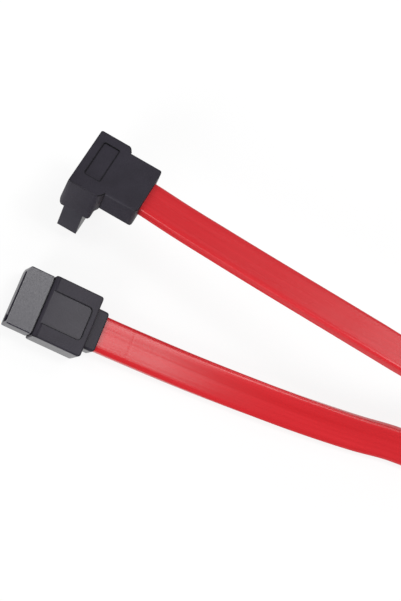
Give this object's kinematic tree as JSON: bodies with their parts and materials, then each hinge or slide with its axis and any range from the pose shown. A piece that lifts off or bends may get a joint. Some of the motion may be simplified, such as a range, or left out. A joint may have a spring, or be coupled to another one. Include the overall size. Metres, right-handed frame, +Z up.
{
  "type": "sata data cable",
  "caption": "Flat red data cable for a drive, with a straight plug on one end and a right-angle plug on the other, each with an L-shaped slot in its nose.",
  "frame": {"origin": "centre of the two plugs' box, on the surface that the cable lies on", "axes": "+Z up; +X along the two strands, from the plugs towards the loop; +Y from the straight plug to the right-angle plug"},
  "size_m": [0.1959, 0.0845, 0.0294],
  "materials": {
    "overmold": "fine matt moulded texture",
    "housing": "smooth satin",
    "inner_mold": "smooth",
    "contact": "gold flash",
    "ribbon": "satin"
  },
  "bodies": {
    "root": {"straight_overmold": "overmold", "straight_housing": "housing", "straight_inner_mold": "inner_mold", "straight_contact_1": "contact", "straight_contact_2": "contact", "straight_contact_3": "contact", "straight_contact_4": "contact", "straight_contact_5": "contact", "straight_contact_6": "contact", "straight_contact_7": "contact", "angle_overmold": "overmold", "angle_housing": "housing", "angle_inner_mold": "inner_mold", "angle_contact_1": "contact", "angle_contact_2": "contact", "angle_contact_3": "contact", "angle_contact_4": "contact", "angle_contact_5": "contact", "angle_contact_6": "contact", "angle_contact_7": "contact", "ribbon_cable": "ribbon"}
  },
  "joints": []
}
